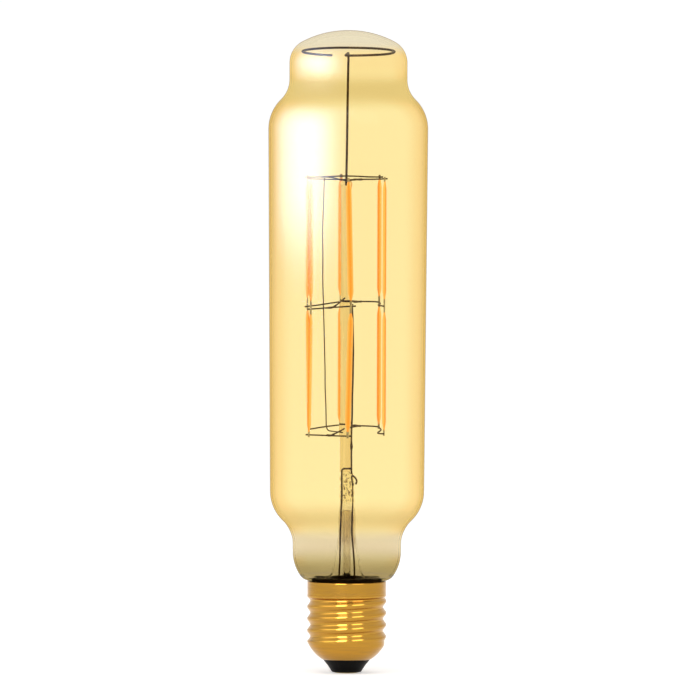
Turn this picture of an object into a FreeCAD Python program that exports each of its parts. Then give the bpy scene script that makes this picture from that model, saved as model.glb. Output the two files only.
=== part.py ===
"""Tubular LED filament bulb with an E27 screw cap.

Millimetres, +Z up. The origin is the centre of the contact's face, at the foot of the bulb.
Front is -Y and right is +X, as the bulb is usually looked at.
"""
import FreeCAD, Part
import math
import os

from FreeCAD import Vector

# glass envelope: radii are outer ones, heights are above the contact's face
glass_top = 212.7
glass_wall = 0.8
crown_radius = 33.0
dome_radius = 19.5
dome_corner = 8.0
upper_shoulder_z = 180.0
upper_shoulder_outer = 13.7
upper_shoulder_inner = 9.3
body_radius_top = 26.4
body_radius_bottom = 25.5
lower_shoulder_z = 60.2
lower_shoulder_outer = 13.5
lower_shoulder_inner = 11.1
waist_radius = 17.9
foot_start_z = 40.2
foot_large_bend = 14.0
foot_large_turn = 35.0
foot_small_bend = 3.7
neck_length = 0.8

# screw cap: size E27, with the thread kept plain at its major diameter
thread_major = 26.3
thread_foot_z = 10.4
thread_top_z = 25.2
sheet = 0.3
cap_rim_z = 30.4
cap_foot_z = 4.5
cap_foot_radius = 8.1
cap_shoulder_radius = 10.9
cap_shoulder_z = 6.9
skirt_radius = 13.05
cement_gap = 0.4
cement_depth = 4.4
cement_thickness = 1.4
cement_hole_radius = 3.3
seal_rise = 0.5
rim_clearance = 0.2

# insulator, centre contact and its solder
insulator_foot_z = 0.3
insulator_foot_radius = 4.9
insulator_round = 0.9
insulator_edge_in = 0.27
insulator_edge_bulge = (0.18, 0.32)
insulator_flank_out = 0.45
insulator_flank_hollow = 0.15
insulator_plug_height = 3.2
contact_radius = 3.9
contact_thickness = 0.8
rivet_radius = 1.1
rivet_height = 3.6
solder_radius = 1.3
solder_depth = 0.3
fit_gap = 0.05

# glass stem
rod_offset = -0.6
flare_wall = 0.5
flare_neck_radius = 2.8
flare_neck_z = 46.0
flare_foot_radius = 4.8
trumpet_bend = 3.0
pinch_bottom_z = 54.0
pinch_top_z = 66.6
pinch_width = 4.6
pinch_depth = 3.3
pinch_top_scale = 0.88
pinch_shoulder = 3.5
pinch_crown = 1.5
pinch_sides = 16
rod_diameter = 3.5
rod_top_z = 163.4
rod_knob = 0.3
rod_knob_length = 4.0
rod_tip_share = 0.7
exhaust_radius = 1.35
exhaust_wall = 0.4
exhaust_tip_z = 14.0

# wire diameters and bends
lead_wire = 0.6
riser_wire = 0.4
bar_wire = 0.5
ring_wire = 0.8
anchor_wire = 0.5
inner_wire = 0.6
wire_sides = 8
bar_bend = 1.6
lead_bend = 1.2
bend_step = 20
bend_share = 0.45
turned_step = 15
same_place = 1e-4
weld_gap = 0.02

# filament cage: two tiers of six
column_names = ["front", "front_right", "rear_right", "rear", "rear_left", "front_left"]
cage_radius = 13.8
cage_turn = 7.0
filament_length = 39.2
filament_shift = {"upper": 0.7, "lower": -0.4}
filament_width = 1.9
filament_thickness = 1.0
tab_width = 0.8
tab_thickness = 0.25
tab_overrun = 0.7
tip_length = 1.8
bottom_tip = 1.4
bottom_rear_tip = 0.6
kinked_tip = 0.0

# levels of the current bars: height at the rod's axis and rise from front to back
level_height = {"top": 163.8, "middle": 121.9, "bottom": 80.3}
level_rise = {"top": 0.0, "middle": 0.022, "bottom": 0.084}

# how far the hand-made cage strays at each level: turn of a column in degrees, lift of a bar
column_sway = {
    "top": {"front": -4.0, "front_left": -3.5},
    "middle": {"front_left": -4.0},
    "bottom": {"front": -4.0, "front_left": -8.0, "rear_left": -6.0},
}
column_lift = {
    "top": {},
    "middle": {"front": 0.4, "front_left": -0.9, "rear_left": -0.9, "rear_right": 0.3},
    "bottom": {"front_left": -0.6, "rear_left": -0.5, "front_right": -0.35},
}

# kinks of a rear bar before its last column: turn in degrees, distance from the rod, lift
rear_kinks = {
    "middle": [(21.0, 12.3, 0.1), (-12.4, 10.8, 0.0)],
    "bottom": [(9.5, 12.1, -0.2), (-12.4, 10.5, -0.7)],
}

# places on a bar's chord, as shares of its length, and how far the anchors climb to the rod
rear_weld_share = (0.35, 0.58)
middle_weld_share = (0.38, 0.53)
bottom_weld_share = (0.42, 0.54)
top_weld_share = (0.57, 0.79)
top_anchor_climb = -1.0
middle_front_climb = 2.2
middle_rear_climb = 1.2
bottom_front_climb = 0.6
bottom_rear_climb = 0.9
anchor_bite = 0.8

# lead and feed wires
left_lead_x = -2.1
right_lead_x = 1.7
lead_foot_x = 2.55
lead_entry_rise = 3.5
lead_melt_in = 4.0
lead_melt_out = 5.0
lead_exit_drop = 1.0
hook_lead_in = 0.3
pinch_lead_x = 1.8
feed_x = 1.45
feed_foot_drop = 0.6
feed_upright = 2.2
feed_straight = 2.6
feed_bow = 0.5
feed_bow_share = 0.72
over_pinch_rise = 1.1
hook_reach = 3.3
hook_points = [(-0.8, -1.5), (0.0, -2.8), (-0.4, -4.0)]
riser_x = -7.8
riser_foot_x = -6.9
riser_corner_rise = 1.6
riser_entry_turn = 200.0
riser_entry_drop = 0.7

# ring wire in the dome
ring_drop = 7.1
ring_radius = 15.2
ring_rise = 0.035
ring_start_turn = -111.0
ring_end_turn = -442.0
ring_step = 8.0
ring_spoke_bend = 2.0
ring_spoke_run = 3.2
post_bite = 2.0

# driver inside the cap
board_width = 17.0
board_height = 12.5
board_thickness = 1.0
board_y = 3.4
board_foot_z = 9.2
board_margin = 2.0
capacitor_diameter = 6.3
capacitor_height = 8.0
capacitor_groove = 0.35
capacitor_groove_z = 1.0
capacitor_x = -5.3
choke_diameter = 5.0
choke_height = 6.0
choke_flange = 0.8
choke_waist = 1.7
choke_x = 5.2
chip_size = 4.6
chip_height = 1.5
chip_chamfer = 0.3
chip_x = 4.2
chip_z = 16.8
resistor_diameter = 2.2
resistor_length = 6.2
resistor_z = 11.2
shell_wire_z = 12.4
shell_wire_turn = 40.0
shell_wire_margin = 1.4
shell_wire_rise = 4.0
solder_joint = 3.0
seat_gap = 0.1

ring_z = glass_top - ring_drop
shell_inner_radius = thread_major / 2 - sheet
neck_radius = skirt_radius - sheet - cement_gap
neck_end_z = cap_rim_z - neck_length
seal_z = cap_rim_z + seal_rise
envelope_foot_z = cap_rim_z + rim_clearance
board_front_y = board_y - board_thickness / 2
board_back_y = board_y + board_thickness / 2
board_top_z = board_foot_z + board_height


def point(radius, height):
    """Point of a turned outline."""
    return Vector(radius, 0, height)


def polar(centre, radius, angle):
    """Point at an angle in degrees round a centre in the outline's plane."""
    turn = math.radians(angle)
    return centre + Vector(radius * math.cos(turn), 0, radius * math.sin(turn))


def arc(centre, radius, start, end):
    """Arc of a turned outline in short runs, angles in degrees from +X towards +Z."""
    runs = max(2, round(abs(end - start) / turned_step))
    return [polar(centre, radius, start + (end - start) * run / runs) for run in range(runs + 1)]


def arc_through(start, middle, end, inset=0):
    """The same for an arc given by three points, drawn inset from it."""
    circle = Part.Arc(start, middle, end).toShape().Curve
    centre = circle.Center
    angles = [math.degrees(math.atan2(place.z - centre.z, place.x - centre.x)) for place in (start, end)]
    return arc(centre, circle.Radius - inset, *angles)


def turned(places):
    """Solid turned about the Z axis from a closed outline."""
    outline = [places[0]]
    for place in places[1:] + places[:1]:
        if place.distanceToPoint(outline[-1]) > same_place:
            outline.append(place)
    return Part.Face(Part.makePolygon(outline)).revolve(Vector(), Vector(0, 0, 1), 360)


def bent(points, bend):
    """Points of a wire's route, with each corner spread over short runs of a tangent bend."""
    places = [points[0]]
    for before, corner, after in zip(points, points[1:], points[2:]):
        back = (before - corner).normalize()
        onward = (after - corner).normalize()
        turn = math.pi - back.getAngle(onward)
        steps = round(math.degrees(turn) / bend_step)
        if steps < 2:
            places.append(corner)
            continue
        shorter = min(before.distanceToPoint(corner), corner.distanceToPoint(after))
        reach = min(bend * math.tan(turn / 2), bend_share * shorter)
        radius = reach / math.tan(turn / 2)
        centre = corner + (back + onward).normalize() * (radius / math.cos(turn / 2))
        spoke = corner + back * reach - centre
        axis = onward.cross(back)
        for step in range(steps + 1):
            swing = FreeCAD.Rotation(axis, math.degrees(turn) * step / steps)
            places.append(centre + swing.multVec(spoke))
    places.append(points[-1])
    return places


def swept(points, diameter):
    """Wire along straight runs with mitred joints, its round section drawn with few sides."""
    runs = [(after - before).normalize() for before, after in zip(points, points[1:])]
    upright = FreeCAD.Rotation(Vector(0, 0, 1), runs[0])
    ring = []
    for side in range(wire_sides):
        angle = 2 * math.pi * side / wire_sides
        spoke = Vector(math.cos(angle), math.sin(angle), 0) * (diameter / 2)
        ring.append(points[0] + upright.multVec(spoke))
    faces = [Part.Face(Part.makePolygon(ring[::-1] + ring[-1:]))]
    for run, onward, joint in zip(runs, runs[1:] + runs[-1:], points[1:]):
        mitre = run + onward
        moved = [corner + run * ((joint - corner).dot(mitre) / run.dot(mitre)) for corner in ring]
        for side in range(wire_sides):
            near = (side + 1) % wire_sides
            flat = [ring[side], ring[near], moved[near], moved[side], ring[side]]
            faces.append(Part.Face(Part.makePolygon(flat)))
        ring = moved
    faces.append(Part.Face(Part.makePolygon(ring + ring[:1])))
    shell = Part.makeShell(faces)
    shell.sewShape()
    solid = Part.makeSolid(shell)
    if solid.Volume < 0:
        solid.reverse()
    return solid


def wire(points, diameter, bend):
    return swept(bent(points, bend), diameter)


def box(width, depth, height, centre):
    """Block about a centre."""
    corner = centre - Vector(width / 2, depth / 2, height / 2)
    return Part.makeBox(width, depth, height, corner)


def shoulder_turn(drop, outer_bend, inner_bend):
    """Angle through which two opposite bends turn to join walls that are drop apart."""
    return math.degrees(math.acos(1 - drop / (outer_bend + inner_bend)))


def envelope_outline(inset):
    """Envelope's profile from its crown to its neck, drawn inset from the outer surface."""
    crown = point(0, glass_top - crown_radius)
    corner_r = dome_radius - dome_corner
    corner_rise = math.sqrt((crown_radius - dome_corner) ** 2 - corner_r ** 2)
    corner = crown + point(corner_r, corner_rise)
    crown_turn = math.degrees(math.atan2(corner_rise, corner_r))
    upper = shoulder_turn(body_radius_top - dome_radius, upper_shoulder_outer, upper_shoulder_inner)
    upper_height = (upper_shoulder_outer + upper_shoulder_inner) * math.sin(math.radians(upper))
    upper_out = point(body_radius_top - upper_shoulder_outer, upper_shoulder_z)
    upper_in = point(dome_radius + upper_shoulder_inner, upper_shoulder_z + upper_height)
    lower = shoulder_turn(body_radius_bottom - waist_radius, lower_shoulder_outer, lower_shoulder_inner)
    lower_height = (lower_shoulder_outer + lower_shoulder_inner) * math.sin(math.radians(lower))
    lower_out = point(body_radius_bottom - lower_shoulder_outer, lower_shoulder_z)
    lower_in = point(waist_radius + lower_shoulder_inner, lower_shoulder_z - lower_height)
    foot = point(waist_radius - foot_large_bend, foot_start_z)
    toe = polar(foot, foot_large_bend - foot_small_bend, -foot_large_turn)
    toe.z = envelope_foot_z + foot_small_bend
    return [
        point(0, crown.z + crown_radius - inset),
        *arc(crown, crown_radius - inset, 90, crown_turn)[1:],
        *arc(corner, dome_corner - inset, crown_turn, 0),
        *arc(upper_in, upper_shoulder_inner + inset, 180, 180 + upper),
        *arc(upper_out, upper_shoulder_outer - inset, upper, 0),
        *arc(lower_out, lower_shoulder_outer - inset, 0, -lower),
        *arc(lower_in, lower_shoulder_inner + inset, 180 - lower, 180),
        *arc(foot, foot_large_bend - inset, 0, -foot_large_turn),
        *arc(toe, foot_small_bend - inset, -foot_large_turn, -90),
        point(neck_radius - inset, envelope_foot_z + inset),
        point(neck_radius - inset, neck_end_z),
    ]


def glass_envelope():
    return turned(envelope_outline(0) + envelope_outline(glass_wall)[::-1])


def pinch_block():
    """Flattened end of the flare, squeezed round the leads: facetted as the jaws leave it."""
    sections = [
        (pinch_bottom_z, flare_neck_radius, flare_neck_radius),
        (pinch_bottom_z + pinch_shoulder, pinch_width / 2, pinch_depth / 2),
        (pinch_top_z - pinch_crown, pinch_width / 2, pinch_depth / 2),
        (pinch_top_z, pinch_width / 2 * pinch_top_scale, pinch_depth / 2 * pinch_top_scale),
    ]
    rings = []
    for height, half_width, half_depth in sections:
        corners = []
        for side in range(pinch_sides + 1):
            angle = 2 * math.pi * side / pinch_sides
            corners.append(Vector(half_width * math.cos(angle), half_depth * math.sin(angle), height))
        rings.append(Part.makePolygon(corners))
    return Part.makeLoft(rings, True, True)


def stem_flare():
    """Trumpet sealed to the neck, and its tube with the pinch at the top."""
    mouth = neck_radius - glass_wall
    bend = point(flare_foot_radius + trumpet_bend, seal_z + flare_wall + trumpet_bend)
    outside = [
        point(flare_neck_radius, pinch_bottom_z),
        point(flare_neck_radius, flare_neck_z),
        *arc(bend, trumpet_bend, 180, 270),
        point(mouth, seal_z + flare_wall),
    ]
    inside = [
        point(mouth, seal_z),
        *arc(bend, trumpet_bend + flare_wall, 270, 180),
        point(flare_neck_radius - flare_wall, flare_neck_z),
        point(flare_neck_radius - flare_wall, pinch_bottom_z),
    ]
    return turned(outside + inside).fuse(pinch_block())


def exhaust_tube():
    """Pumping tube with its melted tip."""
    bore = exhaust_radius - exhaust_wall
    return turned([
        point(0, exhaust_tip_z),
        point(bore, exhaust_tip_z + exhaust_wall),
        point(exhaust_radius, exhaust_tip_z + 2 * exhaust_radius),
        point(exhaust_radius, pinch_bottom_z),
        point(bore, pinch_bottom_z),
        point(bore, exhaust_tip_z + 2 * exhaust_radius),
        point(0, exhaust_tip_z + exhaust_radius),
    ])


def centre_rod():
    """Glass rod with a melted knob round the post at its top."""
    radius = rod_diameter / 2
    neck_z = rod_top_z - rod_knob_length
    side = [
        point(0, pinch_top_z),
        point(radius, pinch_top_z),
        point(radius, neck_z),
        point(radius + rod_knob, rod_top_z - rod_knob_length / 2),
        point(radius * rod_tip_share, rod_top_z),
        point(0, rod_top_z),
    ]
    return turned(side).translated(Vector(rod_offset, 0, 0))


def column_turn(name):
    """Direction of a filament column round the rod, in degrees."""
    step = 360 / len(column_names)
    return -90 + cage_turn + step * column_names.index(name)


def around_rod(turn, radius, height):
    angle = math.radians(turn)
    return Vector(rod_offset + radius * math.cos(angle), radius * math.sin(angle), height)


def on_level(place, level):
    """The place lifted or lowered onto a level of bars."""
    return Vector(place.x, place.y, level_height[level] + level_rise[level] * place.y)


def turn_at(name, level):
    """Direction of a column where it meets a level."""
    return column_turn(name) + column_sway[level].get(name, 0)


def at_column(name, level, radius):
    """Point of a level at a column, at a distance from the rod."""
    place = on_level(around_rod(turn_at(name, level), radius, 0), level)
    return place + Vector(0, 0, column_lift[level].get(name, 0))


half_step = math.radians(180 / len(column_names))
tab_inner_radius = cage_radius - tab_thickness / 2
bar_reach = bar_wire / 2 + weld_gap
corner_radius = tab_inner_radius - bar_reach + bar_bend * (1 / math.cos(half_step) - 1)
tier_levels = {"upper": ("middle", "top"), "lower": ("bottom", "middle")}


def end_radius(name, neighbour, level):
    """Distance from the rod of a bar's end column, so that the bar just clears its tab."""
    apart = abs(turn_at(name, level) - turn_at(neighbour, level))
    half = math.radians(min(apart, 360 - apart)) / 2
    return tab_inner_radius - (bar_reach + tab_width / 2 * math.sin(half)) / math.cos(half)


def filament_ends(tier, name):
    """Lower and upper level points of a filament's axis, on its own column."""
    return [at_column(name, level, cage_radius) for level in tier_levels[tier]]


def faced(shape, turn, base, axis):
    """Shape made upright at the origin, turned to face outwards and set along an axis."""
    shape.rotate(Vector(), Vector(0, 0, 1), turn)
    tilt = FreeCAD.Rotation(Vector(0, 0, 1), axis)
    shape.Placement = FreeCAD.Placement(base, tilt).multiply(shape.Placement)
    return shape


def filament_foot(tier, name):
    """Lower end of a filament and the direction of its axis."""
    low, high = filament_ends(tier, name)
    axis = (high - low).normalize()
    return (low + high) / 2 + axis * (filament_shift[tier] - filament_length / 2), axis


def filament(tier, name):
    """Coated strip of oval section, its flat sides facing out and in."""
    base, axis = filament_foot(tier, name)
    edge = Vector(0, filament_width / 2, 0)
    crown = Vector(filament_thickness / 2, 0, 0)
    outer = Part.Arc(-edge, crown, edge).toShape()
    inner = Part.Arc(edge, -crown, -edge).toShape()
    strip = Part.Face(Part.Wire([outer, inner])).extrude(Vector(0, 0, filament_length))
    turn = sum(turn_at(name, level) for level in tier_levels[tier]) / 2
    return faced(strip, turn, base, axis)


def filament_tabs(tier):
    """Two metal tabs to a filament: past the outer bars, butted at the middle level."""
    tabs = []
    low_level, high_level = tier_levels[tier]
    for name in column_names:
        low, high = filament_ends(tier, name)
        foot, axis = filament_foot(tier, name)
        head = foot + axis * filament_length
        start = low - axis * (tab_overrun if tier == "lower" else -weld_gap)
        end = high + axis * (tab_overrun if tier == "upper" else -weld_gap)
        for base, top, level in ((start, foot, low_level), (head, end, high_level)):
            length = base.distanceToPoint(top)
            strip = box(tab_thickness, tab_width, length, Vector(0, 0, length / 2))
            tabs.append(faced(strip, turn_at(name, level), base, axis))
    return Part.makeCompound(tabs)


def bar_points(names, level):
    """Corners of a bar that passes inside the tabs, from its first column to its last."""
    places = [at_column(name, level, corner_radius) for name in names]
    places[0] = at_column(names[0], level, end_radius(names[0], names[1], level))
    places[-1] = at_column(names[-1], level, end_radius(names[-1], names[-2], level))
    return places


def bar(names, level, first_tip=tip_length, last_tip=tip_length, kinks=()):
    """Bar with its kinks, its ends run past the first and last columns by their tips."""
    points = bar_points(names, level)
    kinked = []
    for turn, radius, lift in kinks:
        kinked.append(on_level(around_rod(turn, radius, 0), level) + Vector(0, 0, lift))
    points[-1:-1] = kinked
    points[0] += (points[0] - points[1]).normalize() * first_tip
    points[-1] += (points[-1] - points[-2]).normalize() * last_tip
    return wire(points, bar_wire, bar_bend)


front_names = ["front", "front_left"]
top_front_names = ["front_left", "front", "front_right"]
rear_names = ["rear_left", "rear", "rear_right", "front_right"]
top_rear_names = ["rear_left", "rear", "rear_right"]


def anchor(start_name, end_name, names, level, climb, shares=rear_weld_share):
    """Short wire welded along the inside of a bar and melted into the rod."""
    places = dict(zip(names, bar_points(names, level)))
    chord = places[end_name] - places[start_name]
    run = (bar_wire + anchor_wire) / 2 + weld_gap
    rod_axis = Vector(rod_offset, 0, 0)
    inward = Vector(-chord.y, chord.x, 0).normalize()
    if inward.dot(rod_axis - places[start_name] - chord / 2) < 0:
        inward = inward * -1
    begin = places[start_name] + chord * shares[0] + inward * run
    leave = places[start_name] + chord * shares[1] + inward * run
    entry = on_level(rod_axis, level) + Vector(0, 0, climb)
    outward = Vector(leave.x - entry.x, leave.y - entry.y, 0).normalize()
    bite = entry + outward * (rod_diameter / 2 - anchor_bite)
    return wire([begin, leave, bite], anchor_wire, bar_bend)


def bars():
    """Front and rear bar of each level."""
    return {
        "top_bar_front": bar(top_front_names, "top"),
        "top_bar_rear": bar(top_rear_names, "top"),
        "middle_bar_front": bar(front_names, "middle"),
        "middle_bar_rear": bar(rear_names, "middle", tip_length, kinked_tip, rear_kinks["middle"]),
        "bottom_bar_front": bar(front_names, "bottom", bottom_tip),
        "bottom_bar_rear": bar(rear_names, "bottom", bottom_rear_tip, kinked_tip, rear_kinks["bottom"]),
    }


def anchors():
    """One anchor wire to each bar."""
    return {
        "top_anchor_front": anchor(
            "front_right", "front", top_front_names, "top", top_anchor_climb, top_weld_share),
        "top_anchor_rear": anchor(
            "rear_left", "rear", top_rear_names, "top", top_anchor_climb),
        "middle_anchor_front": anchor(
            "front_left", "front", front_names, "middle", middle_front_climb, middle_weld_share),
        "middle_anchor_rear": anchor(
            "rear", "rear_right", rear_names, "middle", middle_rear_climb),
        "bottom_anchor_front": anchor(
            "front_left", "front", front_names, "bottom", bottom_front_climb, bottom_weld_share),
        "bottom_anchor_rear": anchor(
            "rear", "rear_right", rear_names, "bottom", bottom_rear_climb),
    }


def beside_front_bar(x, gap, level):
    """Place inside the straight front bar of a level at a given x, its centre line gap away."""
    start, end = bar_points(front_names, level)
    chord = end - start
    along = start + chord * ((x - start.x) / chord.x)
    return along + Vector(0, gap * math.hypot(chord.x, chord.y) / abs(chord.x), 0)


front_of_rod = -(rod_diameter / 2 + lead_wire / 2 + seat_gap)
lead_board_y = board_front_y - lead_wire / 2


def lead_start(side):
    """Lower run of a lead: up the board's face and into the flare."""
    x = side * lead_foot_x
    return [
        Vector(x, lead_board_y, board_top_z - solder_joint),
        Vector(x, lead_board_y, board_top_z + board_margin),
        Vector(x, 0, neck_end_z + lead_entry_rise),
    ]


def lead_wire_left():
    """Lead that leaves the pinch at its front and bends across the rod's foot."""
    top = pinch_top_z + over_pinch_rise
    return wire(lead_start(-1) + [
        Vector(left_lead_x, 0, flare_neck_z),
        Vector(-pinch_lead_x, 0, pinch_bottom_z + lead_melt_in),
        Vector(-pinch_lead_x, 0, pinch_top_z - lead_melt_out),
        Vector(-pinch_lead_x, front_of_rod, pinch_top_z - lead_exit_drop),
        Vector(-pinch_lead_x, front_of_rod, top),
        Vector(feed_x, front_of_rod, top + seat_gap),
    ], lead_wire, lead_bend)


def lead_wire_right():
    """Lead that ends as a small hook on the pinch's right side."""
    return wire(lead_start(1) + [
        Vector(right_lead_x, 0, flare_neck_z),
        Vector(pinch_lead_x, 0, pinch_bottom_z + lead_melt_in),
        Vector(pinch_lead_x, 0, pinch_top_z - lead_melt_out),
        Vector(pinch_lead_x - hook_lead_in, front_of_rod, pinch_top_z - lead_exit_drop),
        *[Vector(hook_reach + across, front_of_rod, pinch_top_z + rise) for across, rise in hook_points],
    ], lead_wire, lead_bend)


def feed_wire():
    """Wire from the left lead's end, up behind the lower front filament."""
    gap = (bar_wire + lead_wire) / 2 + weld_gap
    bottom = beside_front_bar(feed_x, gap, "bottom")
    middle = beside_front_bar(feed_x, gap, "middle")
    bowed = bottom + (middle - bottom) * feed_bow_share + Vector(feed_bow, 0, 0)
    foot_y = front_of_rod - lead_wire - weld_gap
    return wire([
        Vector(feed_x, foot_y, pinch_top_z - feed_foot_drop),
        Vector(feed_x, foot_y, pinch_top_z + feed_upright),
        bottom - Vector(0, 0, feed_straight),
        bottom + Vector(0, 0, feed_straight),
        bowed,
        middle + Vector(0, 0, tab_overrun),
    ], lead_wire, lead_bend)


def riser_wire_solid():
    """Thin wire from the rod's foot level up to the top front bar."""
    gap = (bar_wire + riser_wire) / 2 + weld_gap
    top = beside_front_bar(riser_x, gap, "top")
    foot = beside_front_bar(riser_foot_x, gap, "bottom")
    corner = foot + Vector(0, 0, riser_corner_rise)
    entry_z = level_height["bottom"] - riser_entry_drop
    bite = around_rod(riser_entry_turn, rod_diameter / 2 - anchor_bite, entry_z)
    return wire([top + Vector(0, 0, tab_overrun), corner, bite], riser_wire, lead_bend)


def dome_ring_wire():
    """Open ring in the dome, with a spoke to the middle and a post down to the rod."""
    def on_ring(turn):
        angle = math.radians(turn)
        across = ring_radius * math.sin(angle)
        return Vector(ring_radius * math.cos(angle), across, ring_z + ring_rise * across)
    steps = round((ring_start_turn - ring_end_turn) / ring_step)
    ring = []
    for step in range(steps + 1):
        ring.append(on_ring(ring_start_turn + (ring_end_turn - ring_start_turn) * step / steps))
    onward = (ring[-1] - ring[-2]).normalize()
    tail = bent([
        ring[-1],
        ring[-1] + onward * ring_spoke_run,
        Vector(0, 0, ring_z - ring_wire / 2),
        Vector(rod_offset, 0, rod_top_z - post_bite),
    ], ring_spoke_bend)
    return swept(ring + tail[1:], ring_wire)


def screw_shell():
    """Brass shell: drawn sheet with a narrow foot and a straight skirt."""
    foot_start = point(cap_foot_radius, cap_foot_z)
    foot_middle = point(cap_shoulder_radius, cap_shoulder_z)
    foot_end = point(thread_major / 2, thread_foot_z)
    step = thread_major / 2 - skirt_radius

    def side(inset):
        return [
            *arc_through(foot_start, foot_middle, foot_end, inset),
            point(thread_major / 2 - inset, thread_foot_z),
            point(thread_major / 2 - inset, thread_top_z),
            point(skirt_radius - inset, thread_top_z + step),
            point(skirt_radius - inset, cap_rim_z),
        ]
    return turned(side(0) + side(sheet)[::-1])


def insulator():
    """Black moulding that fills the shell's foot and holds the contact."""
    seat = contact_radius + fit_gap
    plug = cap_foot_radius - sheet - fit_gap
    bore = rivet_radius + fit_gap
    foot = point(insulator_foot_radius, insulator_foot_z)
    foot_edge = foot - point(insulator_edge_in, 0)
    bulge = foot + point(*insulator_edge_bulge)
    flank_foot = foot + point(insulator_flank_out, insulator_round)
    flank_head = point(cap_foot_radius, cap_foot_z)
    flank_middle = (flank_foot + flank_head) / 2 - point(insulator_flank_hollow, 0)
    return turned([
        point(seat, insulator_foot_z),
        *arc_through(foot_edge, bulge, flank_foot),
        *arc_through(flank_foot, flank_middle, flank_head),
        point(plug, cap_foot_z),
        point(plug, cap_foot_z + insulator_plug_height),
        point(bore, cap_foot_z + insulator_plug_height),
        point(bore, contact_thickness),
        point(seat, contact_thickness),
    ])


def centre_contact():
    """Riveted contact with a dished middle for the solder."""
    bore = inner_wire / 2 + fit_gap
    return turned([
        point(solder_radius, 0),
        point(contact_radius - solder_depth, 0),
        point(contact_radius, solder_depth),
        point(contact_radius, contact_thickness),
        point(rivet_radius, contact_thickness),
        point(rivet_radius, rivet_height),
        point(bore, rivet_height),
        point(bore, solder_depth),
    ])


def contact_solder():
    """Solder that fills the contact's dish."""
    bore = inner_wire / 2 + fit_gap
    return turned([point(0, 0), point(solder_radius, 0), point(bore, solder_depth), point(0, solder_depth)])


def cap_cement():
    """Dark cement between neck and skirt, under the neck's edge and against the trumpet."""
    neck_inside = neck_radius - glass_wall
    outer = skirt_radius - sheet
    foot_z = cap_rim_z - cement_depth
    slab_foot_z = neck_end_z - cement_thickness
    return turned([
        point(outer, foot_z),
        point(outer, cap_rim_z),
        point(neck_radius, cap_rim_z),
        point(neck_radius, neck_end_z),
        point(neck_inside, neck_end_z),
        point(neck_inside, seal_z),
        point(cement_hole_radius, seal_z),
        point(cement_hole_radius, slab_foot_z),
        point(neck_inside, slab_foot_z),
        point(neck_radius, foot_z),
    ])


def driver_board():
    centre = Vector(0, board_y, board_foot_z + board_height / 2)
    return box(board_width, board_thickness, board_height, centre)


def smoothing_capacitor():
    """Can with a rolled groove near its foot."""
    radius = capacitor_diameter / 2
    groove = capacitor_groove
    can = turned([
        point(0, 0),
        point(radius, 0),
        point(radius, capacitor_groove_z),
        point(radius - groove, capacitor_groove_z + groove),
        point(radius, capacitor_groove_z + 2 * groove),
        point(radius, capacitor_height - groove),
        point(radius - groove, capacitor_height),
        point(0, capacitor_height),
    ])
    return can.translated(Vector(capacitor_x, board_front_y - radius, board_foot_z + board_margin))


def choke():
    """Wound spool between two flanges."""
    flange = choke_diameter / 2
    spool = turned([
        point(0, 0),
        point(flange, 0),
        point(flange, choke_flange),
        point(choke_waist, choke_flange),
        point(choke_waist, choke_height - choke_flange),
        point(flange, choke_height - choke_flange),
        point(flange, choke_height),
        point(0, choke_height),
    ])
    return spool.translated(Vector(choke_x, board_front_y - flange, board_foot_z + board_margin))


def surface_chip(side):
    """Moulded package on the board's back."""
    centre = Vector(side * chip_x, board_back_y + chip_height / 2, chip_z)
    package = box(chip_size, chip_height, chip_size, centre)
    top_edges = [edge for edge in package.Edges if edge.BoundBox.YMin > centre.y]
    return package.makeChamfer(chip_chamfer, top_edges)


def fuse_resistor():
    """Fusible resistor that lies along the board's lower edge."""
    radius = resistor_diameter / 2
    start = Vector(-resistor_length / 2, board_back_y + radius, resistor_z)
    return Part.makeCylinder(radius, resistor_length, start, Vector(1, 0, 0))


def contact_wire():
    """Wire from the board down into the contact's rivet."""
    y = board_front_y - inner_wire / 2
    return wire([
        Vector(0, y, board_foot_z + solder_joint),
        Vector(0, y, board_foot_z + inner_wire),
        Vector(0, 0, cap_foot_z + insulator_plug_height + inner_wire),
        Vector(0, 0, solder_depth),
    ], inner_wire, lead_bend)


def shell_wire():
    """Wire from the board to the inside of the shell."""
    y = board_back_y + inner_wire / 2
    x = board_width / 2 - shell_wire_margin
    angle = math.radians(shell_wire_turn)
    reach = shell_inner_radius - inner_wire / 2 - weld_gap
    wall = Vector(reach * math.cos(angle), reach * math.sin(angle), shell_wire_z)
    return wire([
        Vector(x, y, shell_wire_z + solder_joint),
        Vector(x, y, shell_wire_z),
        wall,
        wall + Vector(0, 0, shell_wire_rise),
    ], inner_wire, lead_bend)


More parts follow.
